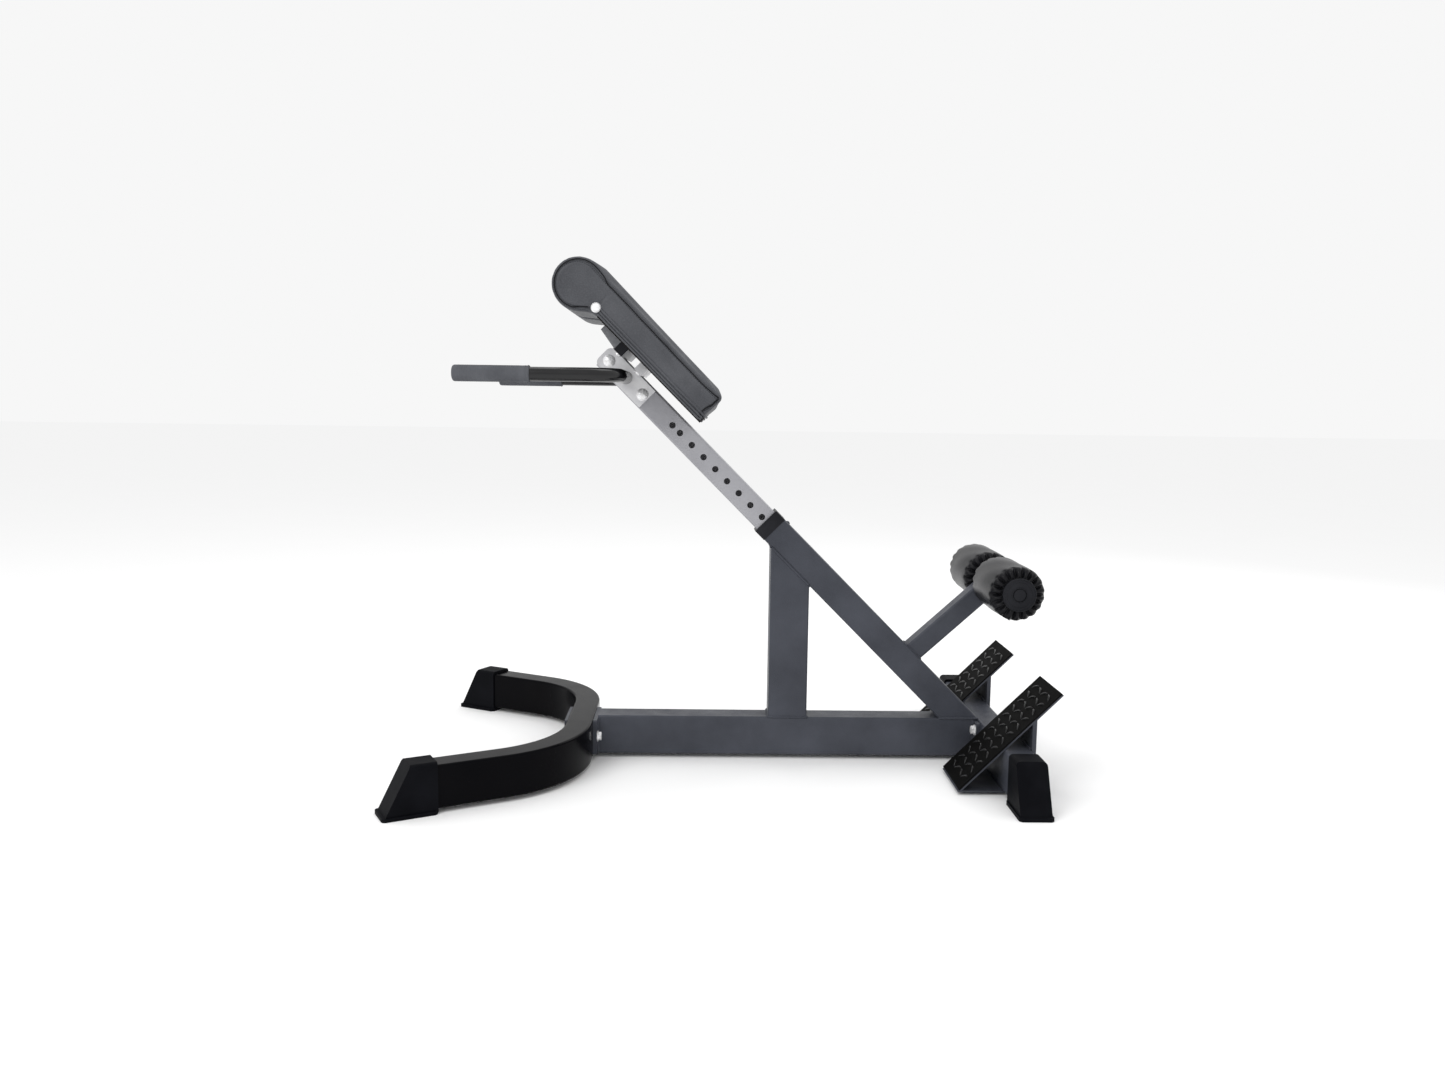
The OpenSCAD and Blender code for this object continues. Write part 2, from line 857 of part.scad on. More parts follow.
module axle_end_screws() {
    color(rubber_black) at_axle() for (side = [-1, 1]) on_side(side) {
        rod_y(4, -axle_half - 1, -axle_half + 18);
        rod_y(recess_r - 1.5, -axle_half - 2.4, -axle_half);
    }
}

module roller_core(side) {
    color(rubber_black) at_axle() on_side(side) difference() {
        rod_y(core_r, -roller_out, -roller_in);
        rod_y(axle_r + 0.08, -roller_out - 1, -roller_in + 1);
    }
}

module roller_core_left() { roller_core(-1); }

module roller_core_right() { roller_core(1); }

// The padded roller has rounded ends.
module roller_foam(side) {
    edge_r = 16;
    len = roller_out - roller_in;
    color(leather) at_axle() on_side(side) translate([0, -roller_out, 0]) rotate([-90, 0, 0])
        difference() {
            rotate_extrude() difference() {
                union() {
                    translate([0, edge_r]) square([roller_r, len - 2 * edge_r]);
                    square([roller_r - edge_r, len]);
                    for (y = [edge_r, len - edge_r])
                        translate([roller_r - edge_r, y]) circle(edge_r);
                }
                translate([-roller_r, -1]) square([roller_r, len + 2]);
            }
            translate([0, 0, -1]) cylinder(r = core_r, h = len + 2);
        }
}

module roller_foam_left() { roller_foam(-1); }

module roller_foam_right() { roller_foam(1); }

// The outer cap has a recess for the end screw, and the inner one is a thin washer.
module roller_cap(side) {
    color(rubber_black) at_axle() on_side(side) {
        difference() {
            rod_y(roller_cap_r, -roller_out - roller_cap_t, -roller_out);
            rod_y(axle_r + 0.08, -roller_out - roller_cap_t - 1, -roller_out + 1);
            rod_y(recess_r, -roller_out - roller_cap_t - 1, -roller_out - roller_cap_t + recess_t);
        }
        difference() {
            rod_y(core_r + 6, -roller_in, -roller_in + 2.5);
            rod_y(axle_r + 0.08, -roller_in - 1, -roller_in + 4);
        }
    }
}

module roller_cap_left() { roller_cap(-1); }

module roller_cap_right() { roller_cap(1); }

// ---- Foot plates ----

module plate_prism(side) {
    y0 = side < 0 ? -plate_in : plate_out;
    translate([0, y0, 0]) rotate([90, 0, 0]) linear_extrude(plate_out - plate_in) children();
}

// One bent sheet: a floor flange under the rear foot tube and a slope facing the post.
module foot_plate(side) {
    z0 = floor_gap - sheet_t;
    front_off = z0 / half_root - sheet_s;
    inner_off = floor_gap / half_root - sheet_back_s;
    color(satin) plate_prism(side) polygon([
        post_point(plate_top, sheet_s),
        post_point(front_off, sheet_s),
        [rear_back_x, z0],
        [rear_back_x, floor_gap],
        post_point(inner_off, sheet_back_s),
        post_point(plate_top, sheet_back_s)
    ]);
}

module foot_plate_left() { foot_plate(-1); }

module foot_plate_right() { foot_plate(1); }

// A stiffening wall between the rear foot tube and the slope.
module foot_bracket(side) {
    wall_t = 8;
    z0 = 20;
    z1 = rear_back_x - post_x + 2 * sheet_back_s * half_root;
    color(charcoal) plate_prism(side) polygon([
        [rear_back_x, z0],
        [rear_back_x + wall_t, z0],
        [rear_back_x + wall_t, z1 + wall_t],
        [rear_back_x, z1]
    ]);
}

module foot_bracket_left() { foot_bracket(-1); }

module foot_bracket_right() { foot_bracket(1); }

module tread_mat(side) {
    low_off = -87;
    color(rubber_black) plate_prism(side) polygon([
        post_point(plate_top, tread_s),
        post_point(low_off, tread_s),
        post_point(low_off, sheet_s + 0.02),
        post_point(plate_top, sheet_s + 0.02)
    ]);
}

module tread_mat_left() { tread_mat(-1); }

module tread_mat_right() { tread_mat(1); }

front_base_tube();
front_cap_left();
front_cap_right();
front_flange_plate();
front_backing_plate();
front_bolts();
front_nuts();
base_beam();
rear_flange_plate();
rear_bolts();
rear_foot_tube();
rear_cap_left();
rear_cap_right();
upright();
sleeve();
sleeve_bush();
bush_screw();
pin_housing();
pull_pin();
pin_spring();
pin_knob();
roller_post();
post_end_plug();
roller_axle();
axle_end_screws();
foot_plate_left();
foot_plate_right();
foot_bracket_left();
foot_bracket_right();
tread_mat_left();
tread_mat_right();
inner_tube();
tube_glide();
head_plate_left();
head_plate_right();
head_bolts();
head_nuts();
handlebar();
grip_left();
grip_right();
pad_bracket();
pad_crossbar_upper();
pad_crossbar_lower();
crossbar_plugs();
pad_board_left();
pad_board_right();
pad_cushion_left();
pad_cushion_right();
pad_screws();
pad_side_bolts();
roller_core_left();
roller_core_right();
roller_foam_left();
roller_foam_right();
roller_cap_left();
roller_cap_right();
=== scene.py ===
"""Looks for the roman chair: materials, pads, rollers, welds, treads, lights and camera.

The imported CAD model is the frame. All lengths are in metres.
Places on the seat post are given as (off, y, s): height off the post's centre line,
distance across the machine, and distance along the post from the floor.
"""
import json
import math
import random

import bmesh
import bpy
from mathutils import Matrix, Vector
from mathutils.bvhtree import BVHTree
from mathutils.kdtree import KDTree


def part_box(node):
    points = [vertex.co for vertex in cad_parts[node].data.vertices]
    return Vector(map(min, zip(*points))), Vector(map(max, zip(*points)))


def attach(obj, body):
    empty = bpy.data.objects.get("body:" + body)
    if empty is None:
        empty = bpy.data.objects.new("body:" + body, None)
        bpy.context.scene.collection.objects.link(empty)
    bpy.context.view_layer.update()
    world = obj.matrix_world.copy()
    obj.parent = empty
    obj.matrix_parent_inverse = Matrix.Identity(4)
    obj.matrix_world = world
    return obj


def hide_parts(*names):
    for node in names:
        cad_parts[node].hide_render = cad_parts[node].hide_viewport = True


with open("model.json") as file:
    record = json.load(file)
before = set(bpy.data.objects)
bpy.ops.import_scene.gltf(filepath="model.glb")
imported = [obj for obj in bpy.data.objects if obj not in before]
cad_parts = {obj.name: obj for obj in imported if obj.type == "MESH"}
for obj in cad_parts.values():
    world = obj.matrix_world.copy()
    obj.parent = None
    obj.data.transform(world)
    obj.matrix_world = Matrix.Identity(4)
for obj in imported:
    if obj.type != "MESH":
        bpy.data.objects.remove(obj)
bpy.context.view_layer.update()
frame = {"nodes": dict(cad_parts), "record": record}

NODES = frame["nodes"]
ROOT_HALF = math.sqrt(0.5)

# ---- Driving values ----

CAMERA_PLACE = (-0.0518, -2.3746, 0.7322)
CAMERA_LENS = 28.91
CAMERA_YAW = 0.9724
CAMERA_PITCH = 6.786
CAMERA_ROLL = 0.752

PAD_START_INSET = 0.0025
PAD_SWELL_CAP = 0.0050
PAD_EDGE_R = 0.0090
PAD_VOXEL = 0.005
PAD_PRESSURE = 4.0
ROLL_R = 0.053
PLEATS = 18
ROLLER_EDGE_R = 0.015
PLEAT_STEPS = 12
PLEAT_DEPTH = 0.0085
SEAM_STEP = 0.0012
SEAM_DEPTH = 0.0022
SEAM_WIDTH = 0.0020
SEAM_PUFF = 0.0006
SEAM_ROUNDS = 30
CORD_R = 0.0010
TRIM_R = 0.0022
TRIM_PITCH = 0.0058
WELD_RIPPLE = 0.0032
FLOOR_HALF = 30.0
WORLD_STRENGTH = 0.93


# ---- The post's own directions ----

def along_post(vector):
    """How far up the post a point lies."""
    return (vector[2] - vector[0] + POST_X) * ROOT_HALF


def off_post(vector):
    """How far a point stands off the post's centre line, square to it."""
    return (vector[0] + vector[2] - POST_X) * ROOT_HALF


def post_point(off, y, s):
    """The point at a place on the post, in the shared frame."""
    return Vector((POST_X + (off - s) * ROOT_HALF, y, (s + off) * ROOT_HALF))


def post_box(node):
    """Lowest and highest (off, y, s) of a CAD node."""
    places = [(off_post(v.co), v.co.y, along_post(v.co)) for v in NODES[node].data.vertices]
    low = tuple(min(p[i] for p in places) for i in range(3))
    high = tuple(max(p[i] for p in places) for i in range(3))
    return low, high


def box_middle(node):
    """The middle of a CAD node's box."""
    low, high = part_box(node)
    return (low + high) / 2


POST_X = box_middle("inner_tube").x + box_middle("inner_tube").z


# ---- Material building ----

class Shader:
    """A material with one Principled shader, and short calls for the nodes that feed it."""

    def __init__(self, name, roughness, metallic=0.0, specular=0.5):
        """A new material with uniform metal, roughness and gloss."""
        self.material = bpy.data.materials.new(name)
        self.material.use_nodes = True
        self.tree = self.material.node_tree
        self.shader = self.tree.nodes["Principled BSDF"]
        self.shader.inputs["Metallic"].default_value = metallic
        self.shader.inputs["Roughness"].default_value = roughness
        self.shader.inputs["Specular IOR Level"].default_value = specular
        self.place = self.tree.nodes.new("ShaderNodeTexCoord").outputs["Object"]

    def set(self, socket, value):
        """A uniform value on one of the shader's own inputs."""
        self.shader.inputs[socket].default_value = value

    def link(self, output, socket):
        """A node's output drives one of the shader's inputs."""
        self.tree.links.new(output, self.shader.inputs[socket])

    def stretched(self, scale):
        """The place, scaled differently along each axis."""
        node = self.tree.nodes.new("ShaderNodeMapping")
        node.inputs["Scale"].default_value = scale
        self.tree.links.new(self.place, node.inputs["Vector"])
        return node.outputs["Vector"]

    def noise(self, scale, detail=3.0, rough=0.5, place=None):
        """Soft random blotches."""
        node = self.tree.nodes.new("ShaderNodeTexNoise")
        node.inputs["Scale"].default_value = scale
        node.inputs["Detail"].default_value = detail
        node.inputs["Roughness"].default_value = rough
        self.tree.links.new(place or self.place, node.inputs["Vector"])
        return node.outputs["Fac"]

    def cells(self, scale, place=None):
        """Distance to the nearest of many scattered points."""
        node = self.tree.nodes.new("ShaderNodeTexVoronoi")
        node.inputs["Scale"].default_value = scale
        self.tree.links.new(place or self.place, node.inputs["Vector"])
        return node.outputs["Distance"]

    def spread(self, value, low, high, to_low=0.0, to_high=1.0):
        """Maps a range of values onto another range, held at its ends."""
        node = self.tree.nodes.new("ShaderNodeMapRange")
        node.inputs["From Min"].default_value = low
        node.inputs["From Max"].default_value = high
        node.inputs["To Min"].default_value = to_low
        node.inputs["To Max"].default_value = to_high
        self.tree.links.new(value, node.inputs["Value"])
        return node.outputs["Result"]

    def sum(self, a, b, share=0.5):
        """a plus a share of b."""
        node = self.tree.nodes.new("ShaderNodeMath")
        node.operation = "MULTIPLY_ADD"
        node.inputs[1].default_value = share
        self.tree.links.new(b, node.inputs[0])
        self.tree.links.new(a, node.inputs[2])
        return node.outputs["Value"]

    def blend(self, value, first, second):
        """A colour between two others."""
        node = self.tree.nodes.new("ShaderNodeMix")
        node.data_type = "RGBA"
        factor, colour_a, colour_b = node.inputs[0], node.inputs[6], node.inputs[7]
        colour_a.default_value = (*first, 1.0)
        colour_b.default_value = (*second, 1.0)
        self.tree.links.new(value, factor)
        return node.outputs[2]

    def bump(self, height, strength, distance):
        """Small relief from a height."""
        node = self.tree.nodes.new("ShaderNodeBump")
        node.inputs["Strength"].default_value = strength
        node.inputs["Distance"].default_value = distance
        self.tree.links.new(height, node.inputs["Height"])
        self.link(node.outputs["Normal"], "Normal")


def powder_coat():
    """Textured charcoal powder coat: fine pebbles and a cloudy tone."""
    m = Shader("frame_charcoal", 0.5, specular=0.22)
    pebbles = m.cells(620.0)
    cloud = m.noise(9.0, 4.0)
    fine = m.noise(1100.0, 2.0)
    tone = m.blend(m.spread(m.sum(cloud, fine, 0.5), 0.50, 1.00),
                   (0.034, 0.037, 0.047), (0.064, 0.069, 0.086))
    m.link(tone, "Base Color")
    m.link(m.spread(m.noise(30.0, 3.0), 0.3, 0.7, 0.36, 0.50), "Roughness")
    m.bump(m.sum(pebbles, fine, 0.5), 0.45, 0.0006)
    return m.material


def gloss_shader(name, specular):
    """Gloss black paint with faint orange peel."""
    m = Shader(name, 0.2, specular=specular)
    m.link(m.blend(m.spread(m.noise(6.0, 3.0), 0.3, 0.7), (0.0012, 0.0012, 0.0020),
                   (0.0030, 0.0028, 0.0034)), "Base Color")
    m.link(m.spread(m.noise(22.0, 3.0), 0.3, 0.7, 0.14, 0.26), "Roughness")
    m.bump(m.noise(260.0, 2.0), 0.06, 0.0004)
    return m.material


def satin_grey():
    """Satin metallic grey of the sliding tube, with faint rub marks."""
    m = Shader("post_satin", 0.42, metallic=0.35, specular=0.5)
    flakes = m.noise(1400.0, 2.0)
    rubs = m.noise(90.0, 4.0, 0.6)
    cloud = m.noise(7.0, 4.0)
    tone = m.blend(m.spread(m.sum(cloud, flakes, 0.5), 0.50, 1.00),
                   (0.27, 0.27, 0.295), (0.40, 0.40, 0.42))
    m.link(tone, "Base Color")
    m.link(m.spread(rubs, 0.35, 0.65, 0.36, 0.50), "Roughness")
    m.bump(flakes, 0.15, 0.0003)
    return m.material


def bracket_grey_painted_shade():
    """Plated grey of the bracket under the pads, duller and darker; the darker colour is painted shade
    cast by the pads above it.
    """
    m = Shader("bracket_grey_painted_shade", 0.4, metallic=0.5)
    blotch = m.noise(60.0, 4.0)
    # These greys are kept dark as painted shade from the pads overhead; the blotches between them are
    # random tone.
    m.link(m.blend(m.spread(blotch, 0.3, 0.7), (0.20, 0.205, 0.220), (0.30, 0.305, 0.325)),
           "Base Color")
    m.link(m.spread(blotch, 0.3, 0.7, 0.3, 0.45), "Roughness")
    m.bump(m.noise(900.0, 2.0), 0.1, 0.0002)
    return m.material


def plated_steel():
    """Bright plated sheet with fine brush lines."""
    m = Shader("plate_steel", 0.35, metallic=0.6)
    lines = m.noise(40.0, 4.0, 0.6, m.stretched((1.0, 1.0, 30.0)))
    blotch = m.noise(28.0, 3.0)
    m.link(m.blend(m.spread(blotch, 0.3, 0.7), (0.56, 0.56, 0.58), (0.72, 0.72, 0.73)),
           "Base Color")
    m.link(m.spread(lines, 0.3, 0.7, 0.28, 0.44), "Roughness")
    m.bump(lines, 0.08, 0.0002)
    return m.material


def chrome():
    """Bright zinc fasteners: satin, with a little tarnish."""
    m = Shader("bolt_chrome", 0.3, metallic=0.35)
    tarnish = m.noise(120.0, 4.0)
    m.link(m.blend(m.spread(tarnish, 0.45, 0.85), (0.90, 0.90, 0.91), (0.72, 0.71, 0.70)),
           "Base Color")
    m.link(m.spread(tarnish, 0.3, 0.75, 0.24, 0.36), "Roughness")
    m.bump(m.noise(600.0, 2.0), 0.05, 0.0002)
    return m.material


def leather_shader(name, dark, pale, ior, roughness):
    """Black synthetic leather: pebble grain and soft creases."""
    m = Shader(name, roughness, specular=0.4)
    m.set("IOR", ior)
    grain = m.cells(480.0)
    fine = m.noise(1500.0, 2.0)
    folds = m.noise(26.0, 4.0, 0.6)
    cloud = m.noise(7.0, 3.0)
    m.link(m.blend(m.spread(m.sum(cloud, grain, 0.25), 0.35, 0.85), dark, pale), "Base Color")
    m.link(m.spread(m.sum(grain, cloud, 0.4), 0.1, 0.9, roughness - 0.06, roughness + 0.08),
           "Roughness")
    m.bump(m.sum(m.sum(grain, fine, 0.3), folds, 0.6), 0.25, 0.0005)
    return m.material


def rubber_shader(name, dark, pale, specular, roughness):
    """Moulded rubber with a fine grain and dusty patches."""
    m = Shader(name, roughness, specular=specular)
    dust = m.noise(16.0, 5.0, 0.6)
    grain = m.noise(900.0, 3.0)
    m.link(m.blend(m.spread(dust, 0.35, 0.75), dark, pale), "Base Color")
    m.link(m.spread(dust, 0.3, 0.7, roughness - 0.08, roughness + 0.08), "Roughness")
    m.bump(grain, 0.25, 0.0004)
    return m.material


def plastic():
    """Satin moulded plastic with faint spark-erosion texture."""
    m = Shader("black_plastic", 0.42, specular=0.12)
    tone = m.noise(24.0, 3.0)
    m.link(m.blend(m.spread(tone, 0.3, 0.7), (0.0080, 0.0085, 0.0110),
                   (0.0160, 0.0165, 0.0200)), "Base Color")
    m.link(m.spread(tone, 0.3, 0.7, 0.36, 0.48), "Roughness")
    m.bump(m.noise(1100.0, 2.0), 0.12, 0.0003)
    return m.material


def backing_cloth():
    """Woven black cloth stapled under the boards."""
    m = Shader("backing_cloth", 0.85, specular=0.1)
    weave = m.cells(700.0, place=m.stretched((1.0, 1.6, 1.0)))
    m.link(m.blend(m.spread(weave, 0.1, 0.7), (0.004, 0.004, 0.004), (0.016, 0.015, 0.014)),
           "Base Color")
    m.bump(weave, 0.4, 0.0005)
    return m.material


def floor_paint():
    """Pale matte studio floor."""
    m = Shader("floor", 0.95, specular=0.0)
    m.link(m.blend(m.noise(3.0, 2.0), (0.965, 0.965, 0.965), (0.975, 0.975, 0.975)),
           "Base Color")
    return m.material


# ---- Mesh helpers ----

def add_piece(name, mesh, material, body):
    """A new object that rides on a CAD body."""
    piece = bpy.data.objects.new(name, mesh)
    bpy.context.collection.objects.link(piece)
    piece.data.materials.append(material)
    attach(piece, body)
    return piece


def mesh_from(name, points, faces, smooth=True):
    """A mesh from points and faces."""
    mesh = bpy.data.meshes.new(name)
    mesh.from_pydata(points, [], faces)
    mesh.update()
    for polygon in mesh.polygons:
        polygon.use_smooth = smooth
    return mesh


def join_rings(rings, closed_ring=True, closed_path=False):
    """Points and quads of a skin over equal rings of points."""
    points = [p for ring in rings for p in ring]
    count = len(rings[0])
    steps = count if closed_ring else count - 1
    passes = len(rings) if closed_path else len(rings) - 1
    faces = []
    for i in range(passes):
        a = i * count
        b = ((i + 1) % len(rings)) * count
        for j in range(steps):
            k = (j + 1) % count
            faces.append((a + j, a + k, b + k, b + j))
    return points, faces


def tube_rings(path, radii, sides, closed=False):
    """Rings round a path, kept from twisting by carrying one direction along it."""
    rings = []
    side = None
    count = len(path)
    for i, point in enumerate(path):
        before = path[i - 1] if (i or closed) else path[0]
        after = path[(i + 1) % count] if (i < count - 1 or closed) else path[-1]
        ahead = (after - before).normalized()
        if side is None:
            side = ahead.orthogonal()
        side = (side - ahead * side.dot(ahead)).normalized()
        up = ahead.cross(side)
        ring = []
        for j in range(sides):
            a = math.tau * j / sides
            ring.append(point + (side * math.cos(a) + up * math.sin(a)) * radii[i])
        rings.append(ring)
    return rings


def resample(path, step, closed=False):
    """Points at even steps along a path."""
    corners = list(path) + ([path[0]] if closed else [])
    lengths = [(b - a).length for a, b in zip(corners, corners[1:])]
    total = sum(lengths)
    count = max(2, round(total / step))
    last = count if closed else count + 1
    found = []
    leg = 0
    walked = 0.0
    for i in range(last):
        target = total * i / count
        while leg < len(lengths) - 1 and walked + lengths[leg] < target:
            walked += lengths[leg]
            leg += 1
        share = (target - walked) / max(lengths[leg], 1e-9)
        found.append(corners[leg].lerp(corners[leg + 1], min(1.0, share)))
    return found


def merge(name, parts):
    """One mesh from several lists of points and faces."""
    points, faces = [], []
    for part_points, part_faces in parts:
        start = len(points)
        points.extend(part_points)
        faces.extend(tuple(start + i for i in face) for face in part_faces)
    return mesh_from(name, points, faces)


def mirrored(mesh, name):
    """A copy on the other side of the machine."""
    copy = mesh.copy()
    copy.name = name
    copy.transform(Matrix.Scale(-1.0, 4, (0.0, 1.0, 0.0)))
    copy.flip_normals()
    return copy


def soften(node, width, segments=2):
    """Rounds the sharp edges of a CAD node for display."""
    piece = NODES[node]
    bevel = piece.modifiers.new("edges", "BEVEL")
    bevel.width = width
    bevel.segments = segments
    bevel.limit_method = "ANGLE"
    bevel.angle_limit = math.radians(40)
    bevel.use_clamp_overlap = True
    bevel.harden_normals = False


# ---- Welds ----

def weld_parts(corners, radius, closed=False):
    """A rippled bead along a path."""
    path = resample(corners, WELD_RIPPLE / 4, closed)
    radii = [radius * (0.86 + 0.22 * abs(math.sin(math.pi * i / 4))) for i in range(len(path))]
    if not closed:
        radii[0] = radii[-1] = radius * 0.2
    return join_rings(tube_rings(path, radii, 8, closed), closed_path=closed)


def rectangle(centre, half_a, half_b):
    """Corners of a rectangle about a centre, from its two half sides."""
    return [centre + half_a * i + half_b * j for i, j in ((-1, -1), (1, -1), (1, 1), (-1, 1))]


def frame_welds():
    """Every weld bead that shows on the frame, as one mesh."""
    parts = []
    up_low, up_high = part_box("upright")
    sleeve_low, sleeve_high = post_box("sleeve")
    beam_low, beam_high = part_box("base_beam")
    under = sleeve_low[0] * math.sqrt(2)
    top = beam_high.z
    # Upright to sleeve, on both sides and across its two faces.
    for y in (up_low.y, up_high.y):
        ends = [Vector((x, y * 0.985, POST_X + under - x)) for x in (up_low.x, up_high.x)]
        for start, stop in ((0.02, 0.36), (0.34, 0.70), (0.68, 0.98)):
            parts.append(weld_parts([ends[0].lerp(ends[1], start), ends[0].lerp(ends[1], stop)],
                                    0.0030))
    for x in (up_low.x, up_high.x):
        z = POST_X + under - x
        parts.append(weld_parts([Vector((x, up_low.y, z)), Vector((x, up_high.y, z))], 0.0026))
    # Upright to beam.
    for x in (up_low.x, up_high.x):
        parts.append(weld_parts([Vector((x, beam_low.y, top)), Vector((x, beam_high.y, top))],
                                0.0028))
    for y in (beam_low.y, beam_high.y):
        parts.append(weld_parts([Vector((up_low.x, y, top)), Vector((up_high.x, y, top))], 0.0022))
    # Sleeve to beam.
    foot_x = [POST_X + under - top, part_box("sleeve")[1].x]
    for y in (-sleeve_high[1], sleeve_high[1]):
        parts.append(weld_parts([Vector((x, y, top)) for x in foot_x], 0.0030))
    # Beam to its two flange plates.
    for node in ("front_flange_plate", "rear_flange_plate"):
        low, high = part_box(node)
        x = high.x if node.startswith("front") else low.x
        centre = Vector((x, 0.0, (beam_low.z + beam_high.z) / 2))
        half_y = Vector((0.0, beam_high.y, 0.0))
        half_z = Vector((0.0, 0.0, (high.z - low.z) / 2))
        for side in (-1, 1):
            parts.append(weld_parts([centre + half_y * side - half_z, centre + half_y * side + half_z],
                                    0.0028))
    # Roller post to sleeve.
    post_low, post_high = post_box("roller_post")
    foot_s = [along_post(v.co) for v in NODES["roller_post"].data.vertices
              if off_post(v.co) < post_low[0] + 0.001]
    half = (max(foot_s) - min(foot_s)) / 2
    base = post_point(post_low[0], 0.0, (min(foot_s) + max(foot_s)) / 2)
    up_post = Vector((-ROOT_HALF, 0.0, ROOT_HALF)) * half
    parts.append(weld_parts(rectangle(base, up_post, Vector((0.0, post_high[1], 0.0))), 0.0028, True))
    # Brackets to the rear foot tube.
    for side in ("left", "right"):
        low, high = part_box("foot_bracket_" + side)
        foot_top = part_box("rear_foot_tube")[1].z
        ends = [Vector((low.x, low.y + 0.006, foot_top)), Vector((low.x, high.y - 0.006, foot_top))]
        parts.append(weld_parts(ends, 0.0026))
    return merge("frame_welds", parts)


# ---- Hip pads ----

def roll_arc(centre_off, centre_s, radius, start, stop, steps):
    """Points round the roll; 0 degrees looks off the post and 90 looks up along it."""
    found = []
    for i in range(steps + 1):
        a = math.radians(start + (stop - start) * i / steps)
        found.append((centre_off + radius * math.cos(a), centre_s + radius * math.sin(a)))
    return found


def pad_outline():
    """The pad's closed side outline as (off, s) points, from its lower underside corner."""
    low, high = post_box("pad_cushion_left")
    under = post_box("pad_board_left")[0][0] + 0.0010
    centre_off = high[0] - ROLL_R
    centre_s = high[2] - ROLL_R
    s0 = low[2]
    edge = 0.010
    outline = [(under, s0 + 0.001 + 0.05 * i) for i in range(5)]
    outline += [(under, centre_s - 0.067), (under - 0.006, centre_s - 0.054)]
    outline += roll_arc(centre_off, centre_s, ROLL_R, 223, 0, 26)
    outline += [(high[0] - 0.0012 * i, centre_s - 0.08 * i) for i in (1, 2, 3)]
    outline += roll_arc(high[0] - 0.0045 - edge, s0 + edge, edge, 0, -90, 5)
    outline += [(under + 0.034, s0 + 0.0030), (under + 0.024, s0 + 0.0044),
                (under + 0.014, s0 + 0.0040), (under + 0.005, s0 + 0.0018)]
    return outline


def shrunk(outline, inset, flat_off):
    """The outline moved inwards, except along its flat underside."""
    found = []
    count = len(outline)
    for i, (off, s) in enumerate(outline):
        if off < flat_off + 0.0005 and s < outline[5][1] + 0.001:
            found.append((off, max(s, outline[0][1] + inset)))
            continue
        before = outline[i - 1]
        after = outline[(i + 1) % count]
        along_off, along_s = after[0] - before[0], after[1] - before[1]
        size = math.hypot(along_off, along_s)
        found.append((off + inset * along_s / size, s - inset * along_off / size))
    return found


def pad_cage(outline, y_out, y_in):
    """A closed block on the outline with rounded side edges, a little under full size."""
    width = y_in - y_out - 2 * PAD_START_INSET
    steps = [PAD_EDGE_R * v for v in (0.0, 0.08, 0.22, 0.42, 0.68, 1.0)]
    depths = steps + [width / 2] + [width - d for d in reversed(steps)]
    rings = []
    for d in depths:
        gap = max(0.0, 1.0 - min(d, width - d) / PAD_EDGE_R)
        inset = PAD_START_INSET + PAD_EDGE_R * (1.0 - math.sqrt(1.0 - gap * gap))
        y = y_out + PAD_START_INSET + d
        rings.append([post_point(off, y, s) for off, s in shrunk(outline, inset, outline[0][0])])
    points, faces = join_rings(rings)
    count = len(outline)
    last = len(points) - count
    faces.append(tuple(reversed(range(count))))
    faces.append(tuple(range(last, last + count)))
    return mesh_from("pad_cage", points, faces)


def outward(mesh):
    """Makes every face of a closed mesh look outwards."""
    work = bmesh.new()
    work.from_mesh(mesh)
    bmesh.ops.recalc_face_normals(work, faces=work.faces)
    work.to_mesh(mesh)
    work.free()
    return mesh


def baked(piece, name):
    """The piece's mesh with its modifiers applied."""
    graph = bpy.context.evaluated_depsgraph_get()
    mesh = bpy.data.meshes.new_from_object(piece.evaluated_get(graph))
    mesh.name = name
    return mesh


def with_modifier(mesh, name, kind, **values):
    """The mesh after one modifier."""
    piece = bpy.data.objects.new("work", mesh)
    bpy.context.collection.objects.link(piece)
    modifier = piece.modifiers.new("work", kind)
    for key, value in values.items():
        setattr(modifier, key, value)
    result = baked(piece, name)
    bpy.data.objects.remove(piece)
    return result


def swollen(mesh, held_off):
    """The mesh after its cover is blown up by the cloth solver, with its underside held."""
    piece = bpy.data.objects.new("swelling", mesh)
    bpy.context.collection.objects.link(piece)
    start = [v.co.copy() for v in mesh.vertices]
    held = piece.vertex_groups.new(name="held")
    held.add([v.index for v in mesh.vertices if off_post(v.co) < held_off], 1.0, "REPLACE")
    cloth = piece.modifiers.new("cloth", "CLOTH")
    cloth.settings.quality = 5
    cloth.settings.mass = 0.3
    cloth.settings.tension_stiffness = 25
    cloth.settings.compression_stiffness = 25
    cloth.settings.shear_stiffness = 12
    cloth.settings.bending_stiffness = 6
    cloth.settings.use_pressure = True
    cloth.settings.uniform_pressure_force = PAD_PRESSURE
    cloth.settings.effector_weights.gravity = 0.0
    cloth.settings.vertex_group_mass = "held"
    cloth.collision_settings.use_collision = False
    for number in range(1, 21):
        bpy.context.scene.frame_set(number)
    result = baked(piece, "pad_swollen")
    bpy.data.objects.remove(piece)
    bpy.context.scene.frame_set(1)
    for vertex, origin in zip(result.vertices, start):
        move = vertex.co - origin
        if move.length > PAD_SWELL_CAP:
            vertex.co = origin + move.normalized() * PAD_SWELL_CAP
    return result


def surface_of(mesh):
    """A search tree of a mesh's faces."""
    return BVHTree.FromPolygons([v.co for v in mesh.vertices],
                                [p.vertices for p in mesh.polygons])


def on_surface(tree, path, lift):
    """The path laid on a surface and lifted off it."""
    found = []
    for point in path:
        place, normal, _, _ = tree.find_nearest(point)
        found.append(place + normal * lift)
    return found


